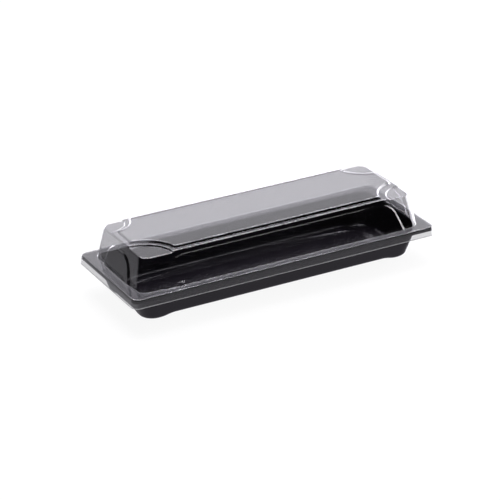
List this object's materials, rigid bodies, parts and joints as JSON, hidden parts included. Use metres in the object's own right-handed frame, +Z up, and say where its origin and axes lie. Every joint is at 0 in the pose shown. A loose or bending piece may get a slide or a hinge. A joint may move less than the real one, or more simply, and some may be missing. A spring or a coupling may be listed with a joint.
{
  "type": "takeaway food tray with lid",
  "caption": "Long narrow takeaway tray: shallow thermoformed base with corner feet and a clear domed lid snapped over its rim.",
  "frame": {"origin": "middle of the tray's footprint, on the plane that its four feet stand on", "axes": "+X along the tray's length, +Y across it, +Z up through the lid"},
  "size_m": [0.223, 0.0866, 0.0465],
  "materials": {
    "black_plastic": "black thermoformed sheet, glossy",
    "clear_plastic": "thin clear thermoformed sheet, glossy"
  },
  "bodies": {
    "root": {"base_tray": "black_plastic", "clear_lid": "clear_plastic"}
  },
  "joints": []
}
